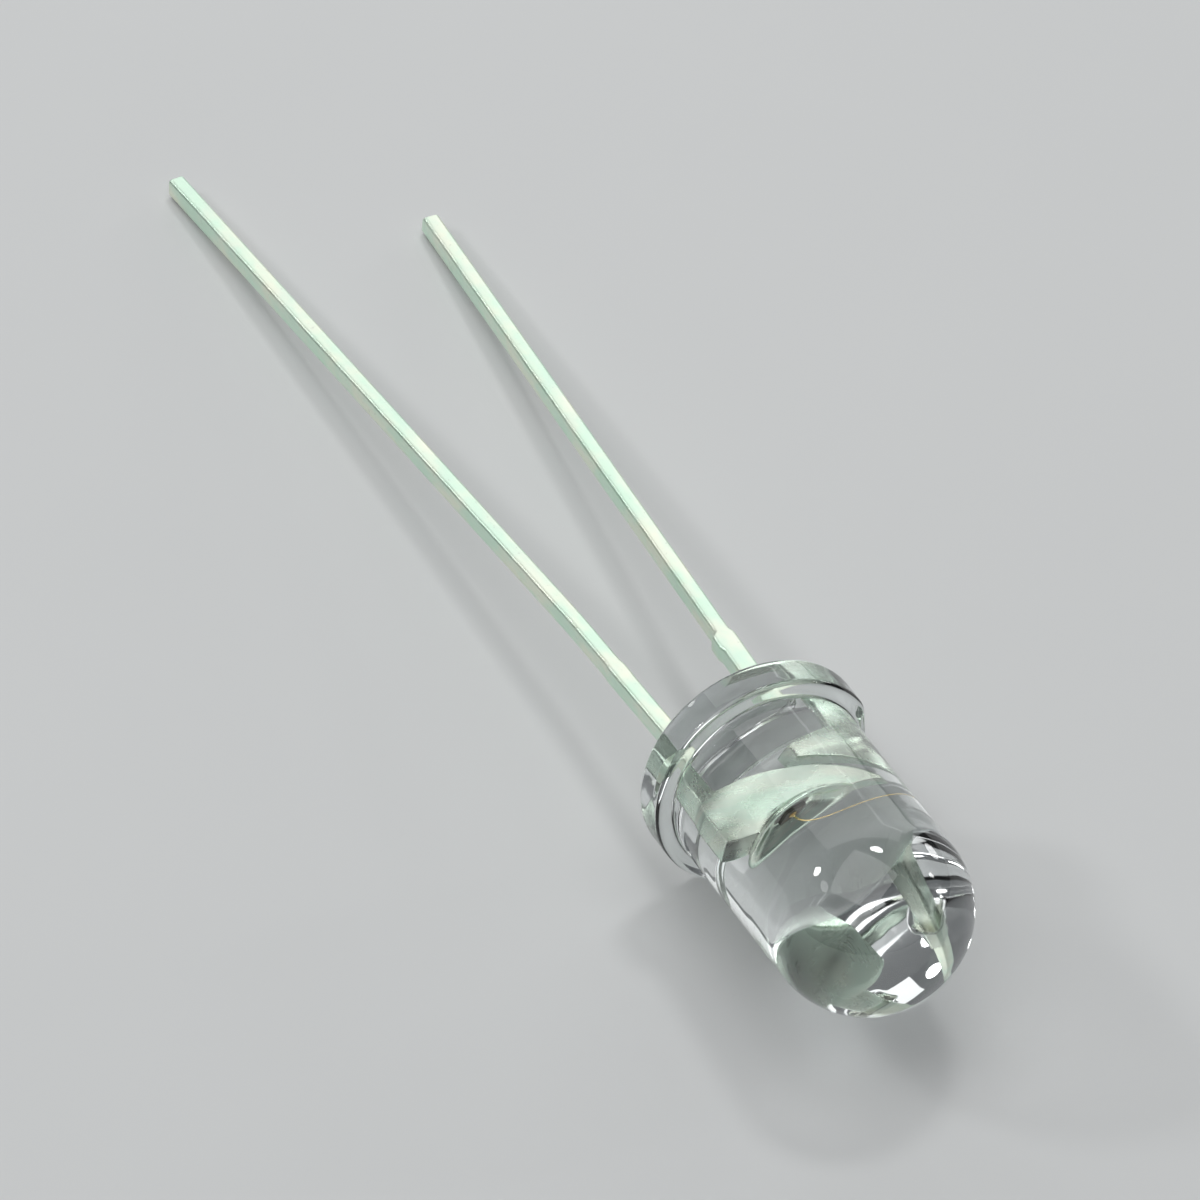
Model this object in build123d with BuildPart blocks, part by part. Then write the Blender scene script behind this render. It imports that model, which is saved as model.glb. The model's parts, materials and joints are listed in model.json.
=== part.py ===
from build123d import *
from math import cos, hypot, radians, sin, sqrt
import os

# Round 5 mm light-emitting diode with two leads, cast in water-clear epoxy.
# It lies as it comes to rest on a table: on the rim of its flange and on the cut ends of both leads.
# Millimetres. The origin is the centre of the seating face, the flat underside of the flange.
# +X runs along the table towards the dome, +Y towards the cathode lead, +Z up.

os.makedirs("parts", exist_ok=True)

# Epoxy casting, measured from the seating face
barrel_diameter = 5.0
casting_height = 8.6
flange_step = 0.40          # the flange stands out this far past the barrel, all round
flange_thickness = 1.0
flat_step = 0.04            # and this far where the flat marks the cathode
rim_radius = 0.16           # rounded edges of the flange
corner_radius = 0.10        # fillet between barrel and flange
meniscus_height = 0.40      # resin that crept down each lead before it set
meniscus_spread = 0.26      # how far it spreads on the seating face, all round the lead
meniscus_waist = 0.10       # its spread at a third of its height
meniscus_edge = 0.04        # its spread where it ends

# Lead frame, stamped from one strip and cut apart
strip_thickness = 0.50
lead_pitch = 2.54
leg_width = 0.42
cathode_root_width = 0.56   # between seating face and tie bar
anode_root_width = 0.46
cathode_length = 21.5
anode_length = 25.4
cathode_splay = 2.5         # degrees, outwards from the axis
anode_splay = 2.0
anode_bend = 1.8            # degrees more, where the anode lead was bent once
anode_bend_distance = 6.2   # from the seating face
exit_bend_radius = 6.0
leg_bend_radius = 30.0
edge_break = 0.04           # stamped and tumbled edges are slightly blunt

# Cut ends of the tie bar that joined the leads until they were cut apart
tie_distance = 3.95
tie_height = 0.42
cathode_tie_stub = 0.09     # what is left of the bar on the side that faces the other lead
anode_tie_stub = 0.03
tie_outer_stub = 0.02

# Anvil on the anode lead, with its reflector cup
cup_rim_height = 3.45
cup_depth = 0.30
cup_margin = 0.06           # cup floor left bare round the adhesive
cup_flare = 0.37            # the cup's wall leans out by this much
cup_wall = 0.13             # metal round the cup's rim
rim_band = 0.08             # upright band under the rim
neck_height = 0.37          # below the band the head narrows to the strip over this height
body_start = 1.45           # both leads widen outwards from here
body_full = 1.80            # and have their full width from here on
anvil_outer_step = 0.12     # the anvil is this much wider than its lead on the outside
anvil_shoulder = 3.00       # where its outer side turns in towards the head
anvil_top = 3.34
anvil_reach = 1.16          # past the axis, towards the cathode
anvil_tip = 0.12            # upright end of the part that reaches past the axis
belly_radius = 3.21         # its lower side is an arc about this point
belly_x = -1.73
belly_height = 4.58
belly_start = -0.45

# Cathode post, which follows the anvil's arc from below and stands up beside it
frame_gap = 0.25            # clear width between post and anvil
post_rise = 0.15            # the post's top above the cup's rim
post_outer_step = 0.20      # the post is this much wider than its lead on the outside
post_toe = 0.42             # inner end of its foot, from the axis
post_toe_height = 1.4
post_foot = 1.2             # its lower side rises from here to the toe

# Chip, its silver-filled adhesive and its gold wire
chip_side = 0.32
chip_height = 0.14
pad_diameter = 0.12
pad_height = 0.02
adhesive_fillet = 0.014     # beyond the chip's corners, at the top of the adhesive
adhesive_slope = 0.03       # its foot spreads this much further
adhesive_thickness = 0.03
wire_diameter = 0.03
wire_loop_height = 0.42     # top of the loop above the post, before its bend is rounded
wire_bend_radius = 0.30
ball_diameter = 0.09
ball_height = 0.04
stitch_length = 0.14
stitch_width = 0.08
stitch_height = 0.04

barrel_radius = barrel_diameter / 2
flange_radius = barrel_radius + flange_step
flat_distance = barrel_radius + flat_step
half_pitch = lead_pitch / 2
half_strip = strip_thickness / 2


def down_the_strip(point, degrees, distance):
    """The point reached from another by going that far towards the cut ends, turned towards the cathode."""
    return (point[0] + distance * sin(radians(degrees)), point[1] - distance * cos(radians(degrees)))


# Centre lines of both leads in the plane of the strip: X towards the cathode, Y towards the dome
cathode_exit = (half_pitch, 0)
cathode_tie = down_the_strip(cathode_exit, cathode_splay, tie_distance)
cathode_end = down_the_strip(cathode_exit, cathode_splay, cathode_length)
anode_exit = (-half_pitch, 0)
anode_tie = down_the_strip(anode_exit, -anode_splay, tie_distance)
anode_knee = down_the_strip(anode_exit, -anode_splay, anode_bend_distance)
anode_run = anode_length - anode_bend_distance
anode_end = down_the_strip(anode_knee, -anode_splay - anode_bend, anode_run)


def rim_contact(up):
    """Lowest point of the flange's lower rounded edge, in the casting's own axes."""
    across = Vector(up.X, up.Y, 0).normalized()
    return Vector(0, 0, rim_radius) - across * (flange_radius - rim_radius) - up * rim_radius


def end_contact(end, up):
    """Lowest corner of a lead's cut end, in the casting's own axes."""
    corners = [
        Vector(end[0] + side * leg_width / 2, face * half_strip, end[1])
        for side in (-1, 1)
        for face in (-1, 1)
    ]
    return min(corners, key=lambda corner: corner.dot(up))


def resting_up():
    """Direction of up in the casting's own axes, square to the plane through its three feet."""
    up = Vector(0, 1, 0)
    for _ in range(30):
        rim = rim_contact(up)
        up = (end_contact(cathode_end, up) - rim).cross(end_contact(anode_end, up) - rim).normalized()
    return up


# The casting's own axes laid on the table
up = resting_up()
dome_way = Vector(0, 0, 1)
ahead = (dome_way - up * up.Z).normalized()
aside = up.cross(ahead)
cathode_dir = Vector(ahead.X, aside.X, up.X)
axis_dir = Vector(ahead.Z, aside.Z, up.Z)
seat = Plane(origin=(0, 0, 0), x_dir=cathode_dir, z_dir=axis_dir)
strip_plane = Plane(origin=(0, 0, 0), x_dir=cathode_dir, z_dir=cathode_dir.cross(axis_dir))
axis = Axis((0, 0, 0), axis_dir)

# Chip, adhesive, cup and head, each wide enough for the one inside it
adhesive_top_diameter = hypot(chip_side, chip_side) + 2 * adhesive_fillet
adhesive_diameter = adhesive_top_diameter + 2 * adhesive_slope
cup_floor_diameter = adhesive_diameter + 2 * cup_margin
cup_rim_diameter = cup_floor_diameter + 2 * cup_flare
head_diameter = cup_rim_diameter + 2 * cup_wall

# Levels inside the reflector cup
cup_floor = cup_rim_height - cup_depth
chip_base = cup_floor + adhesive_thickness
chip_top = chip_base + chip_height
pad_top = chip_top + pad_height
band_base = cup_rim_height - rim_band
neck_base = band_base - neck_height

# Outer side of the anvil, and top and sides of the post, which keeps clear of the anvil's tip
anvil_outer = half_pitch + anode_root_width / 2 + anvil_outer_step
post_height = cup_rim_height + post_rise
post_outer = half_pitch + cathode_root_width / 2 + post_outer_step
post_inner = anvil_reach + frame_gap
stitch_x = (post_outer + post_inner) / 2


def tie_stub(at, degrees, root_width, inner_stub, inner_side):
    """Cut end of the tie bar across a lead, longer on the side that faces the other lead."""
    with Locations(Location((at[0], at[1], 0), (0, 0, degrees))):
        with Locations((inner_side * (inner_stub - tie_outer_stub) / 2, 0)):
            Rectangle(root_width + inner_stub + tie_outer_stub, tie_height)


def belly(x, clearance):
    """Point on the anvil's lower arc, or on the same arc moved away from the anvil by a clearance."""
    return (x, belly_height - sqrt((belly_radius + clearance) ** 2 - (x - belly_x) ** 2))


# Cathode lead: leg, tie bar end, root and post, stamped in one piece
with BuildPart() as cathode_lead:
    with BuildSketch(strip_plane):
        with BuildLine():
            Line(cathode_tie, cathode_end)
        trace(line_width=leg_width)
        with BuildLine():
            FilletPolyline((half_pitch, post_foot), cathode_exit, cathode_tie, radius=exit_bend_radius)
        trace(line_width=cathode_root_width)
        tie_stub(cathode_tie, cathode_splay, cathode_root_width, cathode_tie_stub, -1)
        with BuildLine():
            ThreePointArc(
                belly(post_toe, frame_gap),
                belly((post_toe + post_inner) / 2, frame_gap),
                belly(post_inner, frame_gap),
            )
            Polyline(
                belly(post_inner, frame_gap),
                (post_inner, post_height),
                (post_outer, post_height),
                (post_outer, body_full),
                (half_pitch + cathode_root_width / 2, body_start),
                (half_pitch + cathode_root_width / 2, post_foot),
                (half_pitch - cathode_root_width / 2, post_foot),
                (post_toe, post_toe_height),
                belly(post_toe, frame_gap),
            )
        make_face()
    extrude(amount=half_strip, both=True)
    flat_faces = cathode_lead.faces().filter_by(Axis((0, 0, 0), strip_plane.z_dir)).sort_by(SortBy.AREA)[-2:]
    chamfer(flat_faces.edges(), edge_break)

cathode_lead.part.label = "cathode_lead"
export_step(cathode_lead.part, "parts/cathode_lead.step")

# Anode lead: a longer leg, bent a little below the tie bar. Its anvil is stamped with it, then the round head
# and the cup are coined into the anvil's top.
with BuildPart() as anode_lead:
    with BuildSketch(strip_plane):
        with BuildLine():
            FilletPolyline(anode_tie, anode_knee, anode_end, radius=leg_bend_radius)
        trace(line_width=leg_width)
        with BuildLine():
            FilletPolyline((-half_pitch, body_start), anode_exit, anode_tie, radius=exit_bend_radius)
        trace(line_width=anode_root_width)
        tie_stub(anode_tie, -anode_splay, anode_root_width, anode_tie_stub, 1)
        with BuildLine():
            ThreePointArc(
                belly(belly_start, 0),
                belly((belly_start + anvil_reach) / 2, 0),
                belly(anvil_reach, 0),
            )
            Polyline(
                belly(anvil_reach, 0),
                (anvil_reach, belly(anvil_reach, 0)[1] + anvil_tip),
                (head_diameter / 2, anvil_top),
                (-head_diameter / 2, anvil_top),
                (-anvil_outer, anvil_shoulder),
                (-anvil_outer, body_full),
                (-half_pitch - anode_root_width / 2, body_start),
                (-half_pitch + anode_root_width / 2, body_start),
                belly(belly_start, 0),
            )
        make_face()
    extrude(amount=half_strip, both=True)
    flat_faces = anode_lead.faces().filter_by(Axis((0, 0, 0), strip_plane.z_dir)).sort_by(SortBy.AREA)[-2:]
    chamfer(flat_faces.edges(), edge_break)
    with BuildSketch(strip_plane):
        with BuildLine():
            Polyline(
                (0, neck_base),
                (half_strip, neck_base),
                (head_diameter / 2, band_base),
                (head_diameter / 2, cup_rim_height),
                (0, cup_rim_height),
                close=True,
            )
        make_face()
    revolve(axis=axis)
    with BuildSketch(strip_plane):
        with BuildLine():
            Polyline(
                (0, cup_floor),
                (cup_floor_diameter / 2, cup_floor),
                (cup_rim_diameter / 2, cup_rim_height),
                (0, cup_rim_height),
                close=True,
            )
        make_face()
    revolve(axis=axis, mode=Mode.SUBTRACT)

anode_lead.part.label = "anode_lead"
export_step(anode_lead.part, "parts/anode_lead.step")

# Adhesive: a flat dab on the floor of the cup, a little wider than the chip
with BuildPart() as die_attach:
    with BuildSketch(seat.offset(cup_floor)):
        Circle(adhesive_diameter / 2)
    with BuildSketch(seat.offset(chip_base)):
        Circle(adhesive_top_diameter / 2)
    loft()

die_attach.part.label = "die_attach"
export_step(die_attach.part, "parts/die_attach.step")

# Chip: a square sawn from the wafer, with one round bond pad on top
with BuildPart() as led_die:
    with BuildSketch(seat.offset(chip_base)):
        Rectangle(chip_side, chip_side)
    extrude(amount=chip_height)
    with BuildSketch(seat.offset(chip_top)):
        Circle(pad_diameter / 2)
    extrude(amount=pad_height)

led_die.part.label = "led_die"
export_step(led_die.part, "parts/led_die.step")

# Wire: ball bonded on the pad, looped over the cup's rim and stitched down on the post
wire_start = (0, pad_top + ball_height / 2)
wire_top = (0, post_height + wire_loop_height)
wire_end = (stitch_x - stitch_height / 2, post_height + stitch_height / 2)
with BuildPart() as bond_wire:
    with BuildLine(strip_plane) as loop:
        FilletPolyline(wire_start, wire_top, wire_end, radius=wire_bend_radius)
    with BuildSketch(Plane(origin=loop.line @ 0, x_dir=cathode_dir, z_dir=loop.line % 0)):
        Circle(wire_diameter / 2)
    sweep()
    with BuildSketch(seat.offset(pad_top)):
        Circle(ball_diameter / 2)
    extrude(amount=ball_height)
    with BuildSketch(seat.offset(post_height)):
        with Locations((stitch_x, 0)):
            SlotOverall(stitch_length, stitch_width)
    extrude(amount=stitch_height)

bond_wire.part.label = "bond_wire"
export_step(bond_wire.part, "parts/bond_wire.step")


def meniscus(exit_point, degrees, root_width):
    """Collar of resin round a lead below the seating face, flaring out like wetting liquid."""
    levels = ((0, meniscus_spread), (meniscus_height / 3, meniscus_waist), (meniscus_height, meniscus_edge))
    sections = []
    for depth, spread in levels:
        middle = down_the_strip(exit_point, degrees, depth)
        with BuildSketch(seat.offset(-depth)) as section:
            with Locations((middle[0], 0)):
                RectangleRounded(root_width + 2 * spread, strip_thickness + 2 * spread, spread)
        sections.append(section.sketch)
    loft(sections=sections)


# Casting: flange, barrel and dome turned in one profile, flat cut on the cathode side, cast round the rest
with BuildPart() as epoxy_lens:
    with BuildSketch(strip_plane) as half_section:
        with BuildLine():
            Polyline(
                (0, casting_height),
                (0, 0),
                (flange_radius, 0),
                (flange_radius, flange_thickness),
                (barrel_radius, flange_thickness),
                (barrel_radius, casting_height - barrel_radius),
            )
            RadiusArc((barrel_radius, casting_height - barrel_radius), (0, casting_height), -barrel_radius)
        make_face()
        fillet(half_section.vertices().group_by(Axis.X)[-1], rim_radius)
        corner = half_section.vertices().filter_by_position(
            Axis.X, barrel_radius, barrel_radius
        ).sort_by(Axis.Y)[0]
        fillet(corner, corner_radius)
    revolve(axis=axis)
    with BuildSketch(seat):
        with Locations((flat_distance, 0)):
            Rectangle(barrel_radius, 2 * flange_radius, align=(Align.MIN, Align.CENTER))
    extrude(amount=flange_thickness + corner_radius, mode=Mode.SUBTRACT)
    meniscus(cathode_exit, cathode_splay, cathode_root_width)
    meniscus(anode_exit, -anode_splay, anode_root_width)
    for embedded in (cathode_lead, anode_lead, die_attach, led_die, bond_wire):
        add(embedded.part, mode=Mode.SUBTRACT)

epoxy_lens.part.label = "epoxy_lens"
export_step(epoxy_lens.part, "parts/epoxy_lens.step")
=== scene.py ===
"""A round water-clear light-emitting diode, lying on a table on its flange's rim and its leads' cut ends."""

import bmesh
import bpy
import json
import numpy as np
from math import cos, pi, radians, sin
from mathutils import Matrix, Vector


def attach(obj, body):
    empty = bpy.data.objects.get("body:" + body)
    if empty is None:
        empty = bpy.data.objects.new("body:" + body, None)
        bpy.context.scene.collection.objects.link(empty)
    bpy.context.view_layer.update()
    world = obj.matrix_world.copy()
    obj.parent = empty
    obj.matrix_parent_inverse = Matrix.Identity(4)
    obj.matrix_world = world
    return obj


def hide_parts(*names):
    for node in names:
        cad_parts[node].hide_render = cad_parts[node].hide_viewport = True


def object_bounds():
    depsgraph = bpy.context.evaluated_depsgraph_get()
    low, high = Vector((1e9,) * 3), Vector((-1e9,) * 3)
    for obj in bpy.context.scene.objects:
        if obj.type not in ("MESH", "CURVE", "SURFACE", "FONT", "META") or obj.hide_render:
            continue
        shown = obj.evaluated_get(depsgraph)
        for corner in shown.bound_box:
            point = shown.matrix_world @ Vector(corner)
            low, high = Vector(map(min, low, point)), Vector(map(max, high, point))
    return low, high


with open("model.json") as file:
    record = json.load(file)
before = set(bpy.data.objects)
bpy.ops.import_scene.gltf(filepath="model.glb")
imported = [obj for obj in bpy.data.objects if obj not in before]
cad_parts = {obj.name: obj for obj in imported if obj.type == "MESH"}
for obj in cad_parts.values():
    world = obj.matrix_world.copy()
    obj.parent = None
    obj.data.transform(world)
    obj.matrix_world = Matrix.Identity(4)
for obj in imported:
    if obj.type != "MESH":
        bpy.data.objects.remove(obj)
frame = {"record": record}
cad_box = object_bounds()

# Cathode lead: the shorter of two leads stamped from one strip of steel, dipped in tin and cut apart.
# Inside the casting it ends in the post for the bond wire, whose edge follows the anvil's arc at an even gap.
# The casting's own axes run towards the cathode, square to the strip, and towards the dome.
mm = 0.001
mounts = {mount["name"]: mount for mount in frame["record"]["mounts"]}
dome_way = np.array(mounts["barrel"]["axis"])
cathode_way = np.subtract(mounts["cathode_leg"]["pos_m"], mounts["anode_leg"]["pos_m"])
cathode_way /= np.linalg.norm(cathode_way)
side_way = np.cross(dome_way, cathode_way)

half_pitch = 1.27 * mm
half_strip = 0.25 * mm
half_leg = 0.21 * mm
tinned_corner = 0.11 * mm       # tin fills out the stamped edges of the legs
plated_corner = 0.04 * mm       # inside the casting the edges stay crisper
stamped_blunt = 0.04 * mm       # rounding of the corners of the stamped outline
exit_bend_radius = 6.0 * mm
body_start = 1.45 * mm          # both leads widen outwards from here
body_full = 1.80 * mm           # and have their full width from here on

tie_distance = 3.95 * mm        # middle of the tie bar that joined the leads until they were cut apart
half_tie = 0.21 * mm
tear = 0.14 * mm                # length over which the bar's cut side steps out from the lead
cut_reach = 0.10 * mm           # length over which a lead's cut end leans and its burrs rise
cut_lean = 0.045 * mm
cut_roll = 0.03 * mm            # rounding where the shear entered
cut_burr = 0.03 * mm
waver = 0.012                   # share by which a leg's width and thickness waver
short_wave = 0.41 * mm
long_wave = 1.3 * mm
long_run = 5 * mm               # a plain run longer than this needs only widely spaced stations
wide_spacing = 0.12 * mm
fine_spacing = 0.017 * mm

cathode_half_root = 0.28 * mm
cathode_length = 21.5 * mm
cathode_splay = radians(2.5)
cathode_tie_stub = 0.05 * mm
belly_radius = 3.21 * mm        # the anvil's lower side is an arc about this point
belly_x = -1.73 * mm
belly_height = 4.58 * mm
frame_gap = 0.25 * mm
post_outer = 1.75 * mm
post_inner = 1.41 * mm
post_height = 3.60 * mm
post_toe = 0.42 * mm
post_toe_height = 1.40 * mm
post_foot = 1.20 * mm

mint_tin = (0.68, 0.89, 0.73, 1)
cream_tin = (0.86, 0.90, 0.75, 1)
clouded_tin = (0.80, 0.93, 0.85, 1)
sheltered_tin = (0.84, 0.92, 0.82, 1)
pitted_tin = (0.42, 0.46, 0.42, 1)


def placed(x, y, z):
    """Points of the row's frame, from their distances along the casting's own three axes."""
    return x[..., None] * cathode_way + y[..., None] * side_way + z[..., None] * dome_way


def course(keys, spacing, blunt):
    """Stations along a table of key sections, as one array for each of its columns.

    Between two keys every size changes evenly. Each station then takes the average over a short stretch on
    either side, which rounds the corners and leaves both ends of the table as they are.
    """
    step = np.abs(np.diff(keys, axis=0)).max(axis=1)
    reach = np.concatenate([[0], np.cumsum(step)])
    counts = np.maximum(2, np.ceil(step / spacing)).astype(int)
    runs = [np.linspace(a, b, n, endpoint=False) for a, b, n in zip(reach[:-1], reach[1:], counts)]
    at = np.concatenate([*runs, reach[-1:]])
    stretch = np.minimum(blunt, np.minimum(at, reach[-1] - at))
    near = at[:, None] + stretch[:, None] * np.linspace(-1, 1, 7)
    return [np.interp(near, reach, column).mean(axis=1) for column in keys.T]


def rounded_sections(half_width, half_depth, corner, per_corner=8, per_side=0):
    """Width and depth coordinates round a rounded rectangle, one row for each station.

    The angle runs through four quarter turns, each an arc about its own corner's centre. A straight side joins
    the end of one quarter to the start of the next, with its points spaced as a circle's are when seen from its
    edge. A corner as large as the section makes a circle.
    """
    quarter_turn = np.linspace(0, np.pi / 2, per_corner)
    turn = np.concatenate([quarter_turn + quarter * np.pi / 2 for quarter in range(4)])
    width_side = np.repeat([1, -1, -1, 1], per_corner)
    depth_side = np.repeat([1, 1, -1, -1], per_corner)
    corner = np.minimum(corner, np.minimum(half_width, half_depth))[:, None]
    width = width_side * (half_width[:, None] - corner) + corner * np.cos(turn)
    depth = depth_side * (half_depth[:, None] - corner) + corner * np.sin(turn)
    arcs = np.stack([width, depth]).reshape(2, -1, 4, per_corner)
    share = (1 - np.cos(np.linspace(0, np.pi, per_side + 2)[1:-1])) / 2
    sides = arcs[..., -1:] + share * (np.roll(arcs, -1, axis=2)[..., :1] - arcs[..., -1:])
    return np.concatenate([arcs, sides], axis=3).reshape(2, len(corner), -1)


def closed_surface(name, grid, along, crease):
    """A mesh through rows of points, each of which closes round. The first and last row are single points.

    One UV map holds the distances round and along in millimetres, the other the share of the way round instead.
    An edge sharper than the crease, in degrees, isn't smoothed over.
    """
    rows, columns = grid.shape[:2]
    row, column = np.meshgrid(np.arange(rows - 1), np.arange(columns), indexing="ij")
    row, column = row.ravel(), column.ravel()
    after = (column + 1) % columns
    this, following = row * columns, (row + 1) * columns
    quads = np.stack([this + column, this + after, following + after, following + column], 1)
    mesh = bpy.data.meshes.new(name)
    mesh.from_pydata(grid.reshape(-1, 3), [], quads)
    girth = np.zeros((rows, columns + 1))
    girth[:, 1:] = np.cumsum(np.linalg.norm(np.roll(grid, -1, axis=1) - grid, axis=2), axis=1) / mm
    share = np.broadcast_to(np.arange(columns + 1) / columns, girth.shape)
    reach = np.stack([along[row], along[row], along[row + 1], along[row + 1]], 1) / mm
    for layer, around in (("surface", girth), ("turn", share)):
        start, end = around[row, column], around[row, column + 1]
        next_start, next_end = around[row + 1, column], around[row + 1, column + 1]
        corners = np.stack([np.stack([start, end, next_end, next_start], 1), reach], -1)
        mesh.uv_layers.new(name=layer).data.foreach_set("uv", corners.ravel().astype(np.float32))
    same_point = 1e-5 * mm
    shell = bmesh.new()
    shell.from_mesh(mesh)
    bmesh.ops.remove_doubles(shell, verts=shell.verts, dist=same_point)
    bmesh.ops.recalc_face_normals(shell, faces=shell.faces)
    shell.to_mesh(mesh)
    shell.free()
    mesh.shade_smooth()
    mesh.set_sharp_from_angle(angle=radians(crease))
    made = bpy.data.objects.new(name, mesh)
    bpy.context.scene.collection.objects.link(made)
    return made


class Shade:
    """A shader socket. Arithmetic on it adds Math nodes, and any other node comes from `node`."""

    def __init__(self, tree, socket=None):
        self.tree, self.socket = tree, socket

    def node(self, kind, settings, inputs, output=0):
        """Adds a node: its settings are set first, then each input is linked or given its value."""
        made = self.tree.nodes.new("ShaderNode" + kind)
        for name, setting in settings.items():
            setattr(made, name, setting)
        for name, value in inputs.items():
            if isinstance(value, Shade):
                self.tree.links.new(value.socket, made.inputs[name])
            else:
                made.inputs[name].default_value = value
        return Shade(self.tree, made.outputs[output])

    def math(self, operation, *terms):
        return self.node("Math", {"operation": operation}, dict(enumerate(terms)))

    def __add__(self, other):
        return self.math("ADD", self, other)

    def __sub__(self, other):
        return self.math("SUBTRACT", self, other)

    def __rsub__(self, other):
        return self.math("SUBTRACT", other, self)

    def __mul__(self, other):
        return self.math("MULTIPLY", self, other)

    __radd__ = __add__
    __rmul__ = __mul__

    def place(self):
        """Where on the object a point lies, in metres."""
        return self.node("TexCoord", {}, {}, "Object")

    def unrolled(self, layer):
        """Where on the piece's own surface a point lies, from one of its UV maps."""
        return self.node("UVMap", {"uv_map": layer}, {})

    def part(self, axis):
        """One number of a vector."""
        return self.node("SeparateXYZ", {}, {0: self}, axis)

    def scaled(self, factors):
        return self.node("VectorMath", {"operation": "MULTIPLY"}, {0: self, 1: factors})

    def noise(self, scale, detail, roughness):
        """Cloudy noise at this place, with about so many patches to the unit."""
        settings = {"Vector": self, "Scale": scale, "Detail": detail, "Roughness": roughness}
        return self.node("TexNoise", {}, settings)

    def between(self, low, high):
        """0 where the value is under low, 1 over high, and a smooth ramp in between."""
        limits = {"Value": self, "From Min": low, "From Max": high}
        return self.node("MapRange", {"interpolation_type": "SMOOTHSTEP"}, limits)

    def mixed(self, first, second):
        """The first colour where this value is 0 and the second where it is 1."""
        return self.node("Mix", {"data_type": "RGBA"}, {0: self, 6: first, 7: second}, 2)

    def relief(self, strength, depth):
        """A bump whose height is this value."""
        return self.node("Bump", {}, {"Strength": strength, "Distance": depth, "Height": self})


def finished(name, build, **constants):
    """A material whose varying sockets come from build, and whose other sockets are set to constants."""
    material = bpy.data.materials.new(name)
    material.use_nodes = True
    surface = material.node_tree.nodes["Principled BSDF"]
    for socket, value in constants.items():
        surface.inputs[socket.replace("_", " ")].default_value = value
    for socket, value in build(Shade(material.node_tree)).items():
        material.node_tree.links.new(value.socket, surface.inputs[socket])
    return material


def tin_over_steel(shade):
    """Bright tin with faint drawing lines, mint and cream blooms and small pits.

    Inside the casting, which starts at the seating face, the air never reached it: it is paler and smoother.
    """
    own = shade.unrolled("surface")
    bloom = own.scaled((0.9, 0.5, 1.0)).noise(scale=1.0, detail=3.0, roughness=0.6).between(0.36, 0.64)
    cloud = shade.place().noise(scale=1500.0, detail=3.0, roughness=0.6).between(0.35, 0.7)
    lines = own.scaled((26.0, 0.7, 1.0)).noise(scale=1.0, detail=3.0, roughness=0.55)
    pits = shade.place().noise(scale=8000.0, detail=2.0, roughness=0.5).between(0.66, 0.78)
    inside = own.part("Y").between(-0.1, 0.3)
    tone = bloom.mixed(mint_tin, cream_tin)
    tone = (cloud * 0.3).mixed(tone, clouded_tin)
    tone = (inside * 0.4).mixed(tone, sheltered_tin)
    tone = (pits * (0.25 - inside * 0.2)).mixed(tone, pitted_tin)
    rough = 0.27 + lines * 0.12 + cloud * 0.08 + pits * 0.1 - inside * 0.09
    height = (lines * 0.5 + cloud * 0.3 - pits * 0.5) * (1 - inside * 0.88)
    return {"Base Color": tone, "Roughness": rough, "Normal": height.relief(0.3, 0.005 * mm)}


def bent_line(start_x, bends, top, length):
    """Centre line of a lead in the plane of the strip, as functions of the distance from the seating face.

    The heading is even between bends and changes at an even rate over each bend's arc. The line is the running
    sum of its heading's sine and cosine, started at the top.
    """
    fine = np.linspace(top, -length, 6000)
    heading = np.zeros_like(fine)
    for distance, turn, radius in bends:
        heading += turn * np.clip((-distance - fine) / (radius * abs(turn)) + 0.5, 0, 1)
    step = np.abs(np.diff(fine, prepend=fine[0]))
    x = start_x + np.cumsum(np.sin(heading) * step)
    z = top - np.cumsum(np.cos(heading) * step)
    return lambda s: [np.interp(-s, -fine, values) for values in (x, z, heading)]


def belly(x, clearance):
    """Height of the anvil's lower arc at x, or of the same arc moved away from the anvil by a clearance."""
    return belly_height - np.sqrt((belly_radius + clearance) ** 2 - (x - belly_x) ** 2)


def leg_keys(length, half_root, left_stub, right_stub):
    """Key sections of a lead from its cut end, past the cut tie bar, to the seating face.

    Each has its distance from the seating face, left and right edge, half thickness and corner radius.
    """
    leg = (-half_leg, half_leg, half_strip, tinned_corner)
    tie = (-half_root - left_stub, half_root + right_stub, half_strip, tinned_corner)
    root = (-half_root, half_root, half_strip, tinned_corner)
    return [
        (-length, 0, 0, 0, 0),
        (-length, *leg),
        (-length + cut_reach, *leg),
        (-tie_distance - half_tie - tear, *leg),
        (-tie_distance - half_tie, *tie),
        (-tie_distance + half_tie, *tie),
        (-tie_distance + half_tie + tear, *root),
        (0, *root),
    ]


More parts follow.
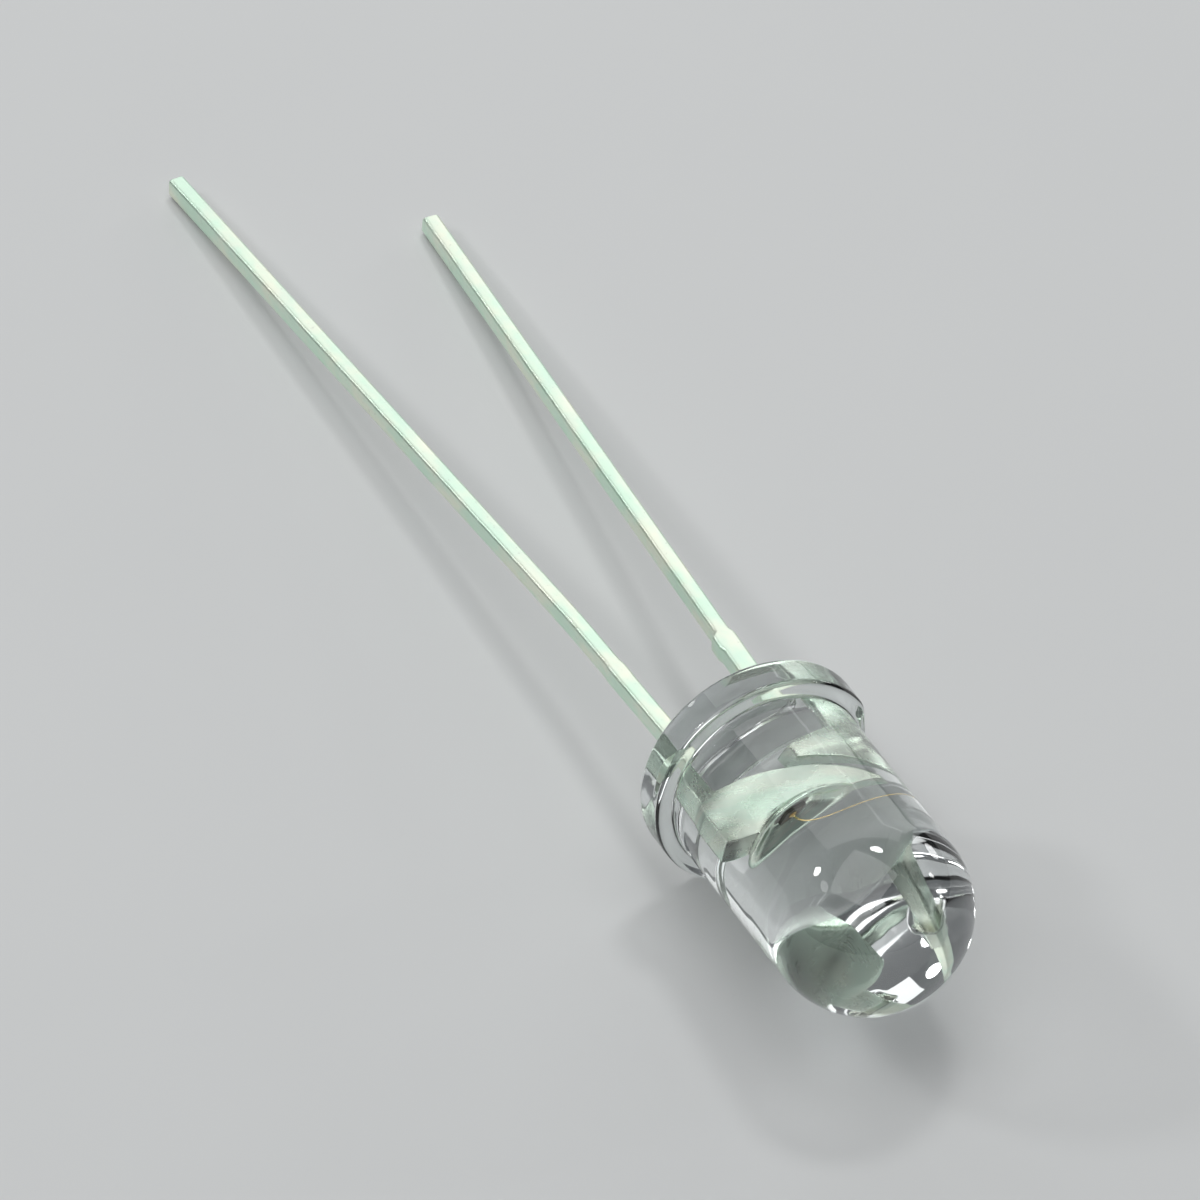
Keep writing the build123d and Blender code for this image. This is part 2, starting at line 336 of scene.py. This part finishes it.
def strip_grid(line, keys, end, shear_side, per_side):
    """A lead's x, depth and z, as rounded rectangles carried along its bent centre line, and the way along it.

    The last sections before the cut end lean back towards the side where the shear entered, and leave two burrs
    at the corners where it left. Along the leg the width follows the product of two sine waves.
    """
    keys = np.array(keys)
    spacing = np.where(np.diff(keys[:, 0]) > long_run, wide_spacing, fine_spacing)
    s, left, right, half_depth, corner = course(keys, spacing, stamped_blunt)
    swell = 1 + waver * np.sin(s / short_wave) * np.sin(s / long_wave + 1) * (s < -tie_distance)
    half_width = (right - left) / 2 * swell
    width, depth = rounded_sections(half_width, half_depth * (2 - swell), corner, per_side=per_side)
    x, z, heading = (values[:, None] for values in line(s))
    across = (left + right)[:, None] / 2 + width
    at_end = np.clip(1 - (s - end) / cut_reach, 0, 1)[:, None]
    entered = shear_side * depth / half_strip
    middle = 1 - (width / half_leg) ** 2
    leaning = cut_lean * (1 + entered) / 2 + cut_roll * np.clip(entered, 0, 1) ** 4
    back = at_end * (leaning + cut_burr * middle * (1 - entered) / 2)
    grid_x = x + across * np.cos(heading) - back * np.sin(heading)
    grid_z = z + across * np.sin(heading) + back * np.cos(heading)
    return grid_x, depth, grid_z, s


cathode_keys = [
    *leg_keys(cathode_length, cathode_half_root, cathode_tie_stub, 0),
    (post_foot, -cathode_half_root, cathode_half_root, half_strip, plated_corner),
    (post_toe_height, post_toe - half_pitch, cathode_half_root, half_strip, plated_corner),
    (body_start, post_toe - half_pitch, cathode_half_root, half_strip, plated_corner),
]
for x in np.linspace(post_toe, post_inner, 12):
    height = belly(x, frame_gap)
    outer_edge = np.interp(height, (body_start, body_full), (cathode_half_root, post_outer - half_pitch))
    cathode_keys.append((height, x - half_pitch, outer_edge, half_strip, plated_corner))
post_middle = (post_inner + post_outer) / 2 - half_pitch
cathode_keys += [
    (post_height, post_inner - half_pitch, post_outer - half_pitch, half_strip, plated_corner),
    (post_height, post_middle, post_middle, 0, 0),
]
cathode_line = bent_line(half_pitch, [(0, cathode_splay, exit_bend_radius)], post_height, cathode_length)
*cathode_points, cathode_s = strip_grid(cathode_line, cathode_keys, -cathode_length, 1, per_side=0)
cathode = closed_surface("cathode_lead_tinned", placed(*cathode_points), cathode_s, crease=38)
tin = finished("tinned_steel", tin_over_steel, Metallic=1.0)
cathode.data.materials.append(tin)
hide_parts("cathode_lead")
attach(cathode, "root")

# Anode lead: the longer lead, of the same strip, bent slightly once. Its upper end is stamped as the anvil,
# into whose top the round head and the reflector cup are coined: over the neck the strip's faces swell into
# the head's cone, which ends in an upright band, the rim and the cup.
anode_half_root = 0.23 * mm
anode_length = 25.4 * mm
anode_splay = radians(2.0)
anode_bend = radians(1.8)
anode_bend_distance = 6.2 * mm
leg_bend_radius = 30.0 * mm
anode_tie_stub = 0.01 * mm

anvil_outer = 1.62 * mm
anvil_shoulder = 3.00 * mm
anvil_top = 3.34 * mm
anvil_reach = 1.16 * mm
anvil_tip = 0.12 * mm
belly_start = -0.45 * mm
neck_base = 3.00 * mm
head_base = 3.37 * mm
head_radius = 0.83 * mm
crown_share = 0.97              # the strip's last section ends this far out on the head's circle
coined_blend = 0.03 * mm        # rounding in the corner between the strip's face and the round head
cup_rim = 3.45 * mm
cup_rim_radius = 0.70 * mm
cup_floor = 3.15 * mm
cup_floor_radius = 0.33 * mm


def distances(*coordinates):
    """Distance covered up to each point of a path: the running sum of the steps' lengths."""
    return np.concatenate([[0], np.cumsum(np.hypot(*np.diff(coordinates)))])


anvil_heights = (body_start, body_full, anvil_shoulder, anvil_top)
anvil_edges = (-anode_half_root, half_pitch - anvil_outer, half_pitch - anvil_outer, half_pitch - head_radius)
anode_keys = [
    *leg_keys(anode_length, anode_half_root, 0, anode_tie_stub),
    (body_start, -anode_half_root, anode_half_root, half_strip, plated_corner),
]
for x in np.linspace(belly_start, anvil_reach, 14):
    outer_edge = np.interp(belly(x, 0), anvil_heights, anvil_edges)
    anode_keys.append((belly(x, 0), outer_edge, x + half_pitch, half_strip, plated_corner))
tip_height = belly(anvil_reach, 0) + anvil_tip
tip_outer_edge = np.interp(tip_height, anvil_heights, anvil_edges)
half_crown = crown_share * head_radius
anode_keys += [
    (tip_height, tip_outer_edge, anvil_reach + half_pitch, half_strip, plated_corner),
    (anvil_top, half_pitch - head_radius, half_pitch + head_radius, half_strip, plated_corner),
    (head_base, half_pitch - half_crown, half_pitch + half_crown, half_strip, plated_corner),
]
anode_bends = [(0, -anode_splay, exit_bend_radius), (anode_bend_distance, -anode_bend, leg_bend_radius)]
anode_line = bent_line(-half_pitch, anode_bends, head_base, anode_length)
anode_x, anode_y, anode_z, anode_s = strip_grid(anode_line, anode_keys, -anode_length, -1, per_side=22)

in_neck = anode_z > neck_base
cone_radius = np.interp(anode_z, (neck_base, head_base), (half_strip, head_radius)) * in_neck
cone_depth = np.sqrt(np.maximum(cone_radius ** 2 - anode_x ** 2, 0))
blend = coined_blend * np.clip(cone_depth / half_strip, 0, 1)
from_strip = np.abs(anode_y)
swollen = (from_strip + cone_depth + np.sqrt((from_strip - cone_depth) ** 2 + blend ** 2)) / 2
anode_y = np.sign(anode_y) * np.where(cone_depth > 0, swollen, from_strip)
head_keys = np.array([
    (head_base, head_radius),
    (cup_rim, head_radius),
    (cup_rim, cup_rim_radius),
    (cup_floor, cup_floor_radius),
    (cup_floor, 0),
])
head_z, head_r = course(head_keys, fine_spacing, stamped_blunt)
head_angle = np.arctan2(anode_y[-1], anode_x[-1])
anode_x = np.concatenate([anode_x[:-1], head_r[:, None] * np.cos(head_angle)])
anode_y = np.concatenate([anode_y[:-1], head_r[:, None] * np.sin(head_angle)])
anode_z = np.concatenate([anode_z[:-1], np.repeat(head_z[:, None], len(head_angle), axis=1)])
anode_s = np.concatenate([anode_s[:-1], anode_s[-1] + distances(head_z, head_r)])
anode = closed_surface("anode_lead_tinned", placed(anode_x, anode_y, anode_z), anode_s, crease=38)
anode.data.materials.append(tin)
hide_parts("anode_lead")
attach(anode, "root")

# Adhesive: a dab of epoxy filled with silver flake, pressed out under the chip and cured on the cup's floor.
# It creeps a little way up the chip's sides, and its outline is never quite round.
adhesive_radius = 0.27 * mm
adhesive_top_radius = 0.24 * mm
adhesive_spacing = 0.008 * mm
adhesive_blunt = 0.01 * mm
adhesive_creep = 0.035 * mm
chip_base = 3.18 * mm
half_chip = 0.16 * mm
collar_share = 1.02             # the top of the adhesive's collar just clears the chip's sides
covered_share = 0.9             # and its inner edge lies this far out under the chip
squareness = 1.3                # the collar's corners stand this much further out than its sides
dull_paste = (0.42, 0.41, 0.39, 1)
silver_flake = (0.86, 0.86, 0.84, 1)


def silver_paste(shade):
    """Grey paste sparkling with silver flakes."""
    flakes = shade.place().noise(scale=42000.0, detail=2.0, roughness=0.6).between(0.45, 0.6)
    return {
        "Base Color": flakes.mixed(dull_paste, silver_flake),
        "Roughness": 0.55 - flakes * 0.25,
        "Metallic": 0.4 + flakes * 0.5,
        "Normal": flakes.relief(0.5, 0.004 * mm),
    }


adhesive_keys = np.array([
    (cup_floor, 0),
    (cup_floor, adhesive_radius),
    (chip_base, adhesive_top_radius),
    (chip_base + adhesive_creep, half_chip * collar_share),
    (chip_base, half_chip * covered_share),
    (chip_base, 0),
])
adhesive_z, adhesive_r = course(adhesive_keys, adhesive_spacing, adhesive_blunt)
round_angle = np.linspace(0, 2 * np.pi, 48, endpoint=False)
square = np.minimum(1 / np.maximum(np.abs(np.cos(round_angle)), np.abs(np.sin(round_angle))), squareness)
wander = 1 + 0.04 * np.sin(3 * round_angle + 1) + 0.025 * np.sin(5 * round_angle)
pressed_out = np.clip((adhesive_r - half_chip) / (adhesive_top_radius - half_chip), 0, 1)[:, None]
adhesive_ring = adhesive_r[:, None] * ((1 - pressed_out) * square + pressed_out * wander)
adhesive_x, adhesive_y = adhesive_ring * np.cos(round_angle), adhesive_ring * np.sin(round_angle)
adhesive_grid = placed(adhesive_x, adhesive_y, adhesive_z[:, None])
adhesive = closed_surface("die_attach_paste", adhesive_grid, adhesive_z, crease=60)
adhesive.data.materials.append(finished("silver_paste", silver_paste))
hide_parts("die_attach")
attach(adhesive, "root")

# Chip: a square of compound semiconductor sawn from its wafer, with a round metal bond pad and four thin arms
# on top. The saw leaves fine lines on its sides, and the adhesive holds it down.
chip_top = 3.32 * mm
chip_corner = 0.012 * mm
chip_spacing = 0.01 * mm
chip_blunt = 0.004 * mm
pad_radius = 0.06 * mm
pad_top = 3.34 * mm
half_arm = 0.004                # as a share of the way round the chip
eighth = 0.125                  # the way round from the middle of one side to the next corner
soft_edge = 0.005               # width in millimetres over which the metal starts
top_edge = (half_chip + chip_top - chip_base) / mm      # distance from the middle of the underside
pad_edge = top_edge + (half_chip - pad_radius) / mm
dark_crystal = (0.10, 0.095, 0.085, 1)
light_crystal = (0.26, 0.24, 0.20, 1)
pad_gold = (0.95, 0.74, 0.36, 1)


def sawn_semiconductor(shade):
    """Dark grey crystal with saw lines, and gold where the bond pad and its arms lie on the top face."""
    own = shade.unrolled("turn")
    share, along = own.part("X"), own.part("Y")
    lines = own.scaled((6.0, 260.0, 1.0)).noise(scale=1.0, detail=2.0, roughness=0.5)
    grain = shade.place().noise(scale=30000.0, detail=3.0, roughness=0.6)
    from_corner = shade.math("PINGPONG", share + eighth, eighth)
    on_top = along.between(top_edge, top_edge + soft_edge)
    arm = (1 - from_corner.between(half_arm, 2.5 * half_arm)) * on_top
    metal = shade.math("MAXIMUM", arm, along.between(pad_edge - soft_edge, pad_edge))
    return {
        "Base Color": metal.mixed(grain.mixed(dark_crystal, light_crystal), pad_gold),
        "Roughness": 0.32 + lines * 0.2 - metal * 0.1,
        "Metallic": metal,
        "Normal": lines.relief(0.3, 0.002 * mm),
    }


chip_keys = np.array([
    (chip_base, 0, 0),
    (chip_base, half_chip, chip_corner),
    (chip_top, half_chip, chip_corner),
    (chip_top, pad_radius, pad_radius),
    (pad_top, pad_radius, pad_radius),
    (pad_top, 0, 0),
])
chip_z, chip_half, chip_round = course(chip_keys, chip_spacing, chip_blunt)
chip_x, chip_y = rounded_sections(chip_half, chip_half, chip_round)
chip_grid = placed(chip_x, chip_y, chip_z[:, None])
chip = closed_surface("led_die_sawn", chip_grid, distances(chip_z, chip_half), crease=38)
chip.data.materials.append(finished("sawn_semiconductor", sawn_semiconductor))
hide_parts("led_die")
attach(chip, "root")

# Bond wire: gold wire thinner than a hair. Its end is melted into a ball and pressed on the chip's pad, then it
# is looped over the rim of the cup and its other end is squashed flat on top of the post.
wire_radius = 0.015 * mm
ball_radius = 0.045 * mm
ball_height = 0.04 * mm
stitch_x = 1.58 * mm
half_stitch = 0.07 * mm
half_stitch_width = 0.04 * mm
half_stitch_height = 0.012 * mm
squash_start = 2.4 * half_stitch    # the wire starts to flatten this far before its end
squash_reach = 1.6 * half_stitch    # and is flat after as much again
loop_height = 0.44 * mm
deep_gold = (0.98, 0.72, 0.30, 1)
bright_gold = (1.0, 0.82, 0.45, 1)


def drawn_gold(shade):
    """Polished gold with lines drawn along it."""
    own = shade.unrolled("surface")
    lines = own.scaled((300.0, 6.0, 1.0)).noise(scale=1.0, detail=2.0, roughness=0.5)
    return {"Base Color": lines.mixed(deep_gold, bright_gold), "Roughness": 0.14 + lines * 0.12}


def curve_through(guides, share):
    """Points of a cubic Bezier curve: four guide points, weighted by the terms of (rest + share) cubed."""
    rest = 1 - share
    weights = np.stack([rest ** 3, 3 * share * rest ** 2, 3 * share ** 2 * rest, share ** 3], 1)
    return weights @ guides


wire_loop = curve_through(np.array([
    (0, pad_top),
    (0, post_height + loop_height),
    (stitch_x * 0.45, post_height + 1.25 * loop_height),
    (stitch_x, post_height + half_stitch_height),
]), np.linspace(0, 1, 60))
tail_x = stitch_x + half_stitch * np.linspace(0.1, 1, 8)
wire_tail = np.stack([tail_x, np.full_like(tail_x, post_height + half_stitch_height)], 1)
wire_line = np.concatenate([wire_loop, wire_tail])
wire_along = distances(*wire_line.T)
in_ball = np.sqrt(np.clip(1 - (wire_along / (ball_height / 2) - 1) ** 2, 0, 1))
round_radius = np.maximum(ball_radius * np.sqrt(in_ball), wire_radius)
before_end = wire_along[-1] - wire_along
squashed = np.clip((squash_start - before_end) / squash_reach, 0, 1)
wire_width = round_radius + squashed * (half_stitch_width - wire_radius)
wire_depth = round_radius - squashed * (wire_radius - half_stitch_height)
wire_width[[0, -1]] = wire_depth[[0, -1]] = 0
wire_heading = np.gradient(wire_line, axis=0)
wire_heading /= np.linalg.norm(wire_heading, axis=1)[:, None]
wire_corner = np.minimum(wire_width, wire_depth)
across_width, across_depth = rounded_sections(wire_width, wire_depth, wire_corner, per_corner=5)
wire_x = wire_line[:, :1] + across_depth * wire_heading[:, 1:]
wire_z = wire_line[:, 1:] - across_depth * wire_heading[:, :1]
wire = closed_surface("bond_wire_gold", placed(wire_x, across_width, wire_z), wire_along, crease=70)
wire.data.materials.append(finished("drawn_gold", drawn_gold, Metallic=1.0))
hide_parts("bond_wire")
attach(wire, "root")

# Casting: water-clear epoxy poured into an upside-down mould round the lead frame and cured. The mould gives
# the dome, the barrel, the flange and the flat that marks the cathode. The open side becomes the seating face,
# where the resin shrinks to a shallow dish and has crept down both leads.
barrel_radius = 2.5 * mm
flange_radius = 2.9 * mm
flat_distance = 2.54 * mm
flange_thickness = 1.0 * mm
casting_height = 8.6 * mm
rim_radius = 0.16 * mm
corner_radius = 0.10 * mm
flat_blend = 0.05 * mm          # rounding of the flat's two upright edges
dish_depth = 0.02 * mm
dish_radius = 0.94 * flange_radius
resin_creep = 0.6 * mm
resin_spread = 0.26 * mm
collar_hollow = 3.3             # the higher this power, the more hollow the resin's collars
collars_start = 0.70 * mm       # the seating face has fine rings over this stretch, where the collars are
collars_end = 1.85 * mm
ring_spacing = 0.014 * mm
seat_middle = 2.0 * mm
lead_sector = 32                # the leads lie within this many degrees of the way to the cathode and back
clear_resin = (0.92, 0.95, 0.95, 1)
hazy_resin = (0.89, 0.93, 0.915, 1)


def water_clear(shade):
    """Clear resin with the mould's polish: slow ripples, a faint haze in patches and a few hairline rubs."""
    ripple = shade.place().noise(scale=480.0, detail=1.5, roughness=0.45)
    haze = shade.place().noise(scale=900.0, detail=4.0, roughness=0.6).between(0.45, 0.75)
    scratched = shade.place().scaled((600.0, 9000.0, 2500.0))
    rubs = scratched.noise(scale=1.0, detail=2.0, roughness=0.5).between(0.66, 0.72)
    return {
        "Base Color": haze.mixed(clear_resin, hazy_resin),
        "Roughness": 0.02 + haze * 0.03 + rubs * 0.05,
        "Normal": ripple.relief(0.5, 0.07 * mm),
    }


def flange_edge(angle):
    """Distance from the axis to the flange's edge: the nearer of circle and flat, with a smooth change-over.

    The flat's distance grows with the angle. It's held at a far one on the sides that the flat doesn't reach.
    """
    flat = flat_distance / np.maximum(np.cos(angle), 0.3)
    apart = (flat - flange_radius) / flat_blend
    return flange_radius - flat_blend * np.logaddexp(0, -apart)


def resin_level(x, y):
    """How far the resin reaches past the seating face, less the dish.

    Round each lead it falls from its full creep to nothing over the spread, as the distance to the lead's
    rectangular section grows, by a power that gives the hollow curve of a wetted collar. The dish falls off
    from the middle outwards by the fourth power.
    """
    collar = 0
    for side, half_root in ((1, cathode_half_root), (-1, anode_half_root)):
        beside = np.maximum(np.abs(x - side * half_pitch) - half_root, 0)
        before = np.maximum(np.abs(y) - half_strip, 0)
        nearness = np.clip(1 - np.hypot(beside, before) / resin_spread, 0, 1)
        collar = collar + resin_creep * nearness ** collar_hollow
    dish = dish_depth * np.clip(1 - (np.hypot(x, y) / dish_radius) ** 4, 0, 1)
    return dish - collar


around_leads = np.radians(np.linspace(-lead_sector, lead_sector, 96, endpoint=False))
between_leads = np.radians(np.linspace(lead_sector, 180 - lead_sector, 64, endpoint=False))
angle = np.concatenate([around_leads, between_leads, around_leads + np.pi, between_leads + np.pi])
edge = flange_edge(angle)
ledge_share = (edge - barrel_radius) / (flange_radius - barrel_radius)
upper_rim = rim_radius * ledge_share
hollow = corner_radius * ledge_share
seat_reach = np.concatenate([
    np.linspace(0, collars_start, 8, endpoint=False),
    np.arange(collars_start, collars_end, ring_spacing),
    np.linspace(collars_end + 0.01 * mm, seat_middle, 6),
])[:, None]
outer_share = np.linspace(0, 1, 14)[1:, None]
quarter = np.linspace(0, np.pi / 2, 10)[:, None]
straight = np.linspace(0, 1, 5)[1:-1, None]
barrel_share = np.linspace(0, 1, 24)[1:, None]
dome_turn = np.linspace(0, np.pi / 2, 44)[1:, None]
every = np.ones_like(angle)
seat_edge = edge - rim_radius
barrel_top = casting_height - barrel_radius
casting_r = np.concatenate([
    seat_reach * every,
    seat_middle + outer_share * (seat_edge - seat_middle),
    seat_edge + rim_radius * np.sin(quarter),
    edge * np.ones_like(straight),
    edge - upper_rim + upper_rim * np.cos(quarter),
    barrel_radius + hollow - hollow * np.sin(quarter),
    barrel_radius * every * np.ones_like(barrel_share),
    barrel_radius * every * np.cos(dome_turn),
])
seat_rows = len(seat_reach) + len(outer_share)
casting_z = np.concatenate([
    np.zeros((seat_rows, len(angle))),
    rim_radius * every * (1 - np.cos(quarter)),
    rim_radius + straight * (flange_thickness - upper_rim - rim_radius),
    flange_thickness - upper_rim + upper_rim * np.sin(quarter),
    flange_thickness + hollow * (1 - np.cos(quarter)),
    flange_thickness + hollow + barrel_share * (barrel_top - flange_thickness - hollow),
    barrel_top + barrel_radius * every * np.sin(dome_turn),
])
casting_x, casting_y = casting_r * np.cos(angle), casting_r * np.sin(angle)
casting_z[:seat_rows] = resin_level(casting_x[:seat_rows], casting_y[:seat_rows])
guide = 60                      # the distances along the casting are measured on this column of points
casting_along = distances(casting_r[:, guide], casting_z[:, guide])
casting = closed_surface("epoxy_lens_clear", placed(casting_x, casting_y, casting_z), casting_along, crease=50)
clear = finished("water_clear_epoxy", water_clear, Transmission_Weight=1.0, IOR=1.54)
casting.data.materials.append(clear)
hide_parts("epoxy_lens")
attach(casting, "root")

# Floor: a plain pale sheet under the diode, level with its lowest point, and large enough to reach past every
# edge of the picture.
floor_half = 0.6
floor_level = cad_box[0].z
darker_sheet = (0.60, 0.61, 0.61, 1)
lighter_sheet = (0.63, 0.64, 0.64, 1)


def pale_sheet(shade):
    """Matt pale grey with the slightest unevenness."""
    fibre = shade.place().noise(scale=60.0, detail=4.0, roughness=0.6)
    return {"Base Color": fibre.mixed(darker_sheet, lighter_sheet), "Roughness": 0.75 + fibre * 0.1}


corner_sides = ((-1, -1), (1, -1), (1, 1), (-1, 1))
floor_corners = [(x * floor_half, y * floor_half, floor_level) for x, y in corner_sides]
floor_mesh = bpy.data.meshes.new("floor")
floor_mesh.from_pydata(floor_corners, [], [(0, 1, 2, 3)])
floor = bpy.data.objects.new("floor", floor_mesh)
bpy.context.scene.collection.objects.link(floor)
floor.data.materials.append(finished("pale_sheet", pale_sheet))

# Light: a wide soft box overhead for the floor, and two behind that the leads and the anvil mirror in their
# broad faces. Six small round ones stand where the photograph's highlights in the casting come from. The room
# is dim.
room_grey = (0.13, 0.135, 0.14, 1)
world = bpy.data.worlds.new("studio")
world.use_nodes = True
world.node_tree.nodes["Background"].inputs["Color"].default_value = room_grey
bpy.context.scene.world = world


def bearing(azimuth, elevation):
    """Unit vector towards a direction, in degrees round from +X and above the table."""
    azimuth, elevation = radians(azimuth), radians(elevation)
    return Vector((cos(azimuth) * cos(elevation), sin(azimuth) * cos(elevation), sin(elevation)))


def soft_box(name, azimuth, elevation, distance, width, height, radiance, shape="ELLIPSE"):
    """A flat lamp that faces the diode from that direction. Its power is pi times radiance times area."""
    lamp = bpy.data.lights.new(name, "AREA")
    area = width * height * (1 if shape == "RECTANGLE" else pi / 4)
    lamp.shape, lamp.size, lamp.size_y, lamp.energy = shape, width, height, radiance * pi * area
    box = bpy.data.objects.new(name, lamp)
    towards = bearing(azimuth, elevation)
    box.location = towards * distance
    box.rotation_mode = "QUATERNION"
    box.rotation_quaternion = towards.to_track_quat("Z", "Y")
    bpy.context.scene.collection.objects.link(box)


soft_box("overhead", -60, 80, 0.35, 0.36, 0.36, 1.8, "RECTANGLE")
soft_box("lead_side", 160, 36, 0.30, 0.34, 0.12, 1.05, "RECTANGLE")
soft_box("anvil_side", 143, 14, 0.30, 0.18, 0.12, 1.05, "RECTANGLE")
soft_box("anode_side", -156, 26, 0.30, 0.045, 0.045, 6)
soft_box("anode_spot", -133, 38, 0.29, 0.045, 0.038, 22)
soft_box("anode_glow", -108, 44, 0.30, 0.07, 0.04, 3)
soft_box("high_behind", 136, 62, 0.30, 0.06, 0.035, 22)
soft_box("cathode_side", 107, 12, 0.30, 0.07, 0.05, 6)
soft_box("low_cathode_side", 80, 24, 0.30, 0.02, 0.03, 12)

# Camera: where the photographer's was, far off with a long lens, looking down past the dome. It stands aside
# by as much as brings the frame's origin to its pixel in the photograph.
camera_azimuth = -26.72
camera_elevation = 46.99
camera_distance = 0.450
image_side = 1200
pixels_per_metre = 42680
origin_pixel = (748.81, 758.54)
into = -bearing(camera_azimuth, camera_elevation)
right = into.cross(Vector((0, 0, 1))).normalized()
down = into.cross(right)
aside, below = ((pixel - image_side / 2) / pixels_per_metre for pixel in origin_pixel)
camera_data = bpy.data.cameras.new("camera")
camera_data.sensor_width = 36
camera_data.lens = camera_data.sensor_width * pixels_per_metre * camera_distance / image_side
camera_data.clip_start = 0.01
camera = bpy.data.objects.new("camera", camera_data)
camera.location = -(right * aside + down * below + into * camera_distance)
camera.rotation_mode = "QUATERNION"
camera.rotation_quaternion = into.to_track_quat("-Z", "Y")
bpy.context.scene.collection.objects.link(camera)
bpy.context.scene.camera = camera
bpy.context.scene.view_settings.view_transform = "Standard"
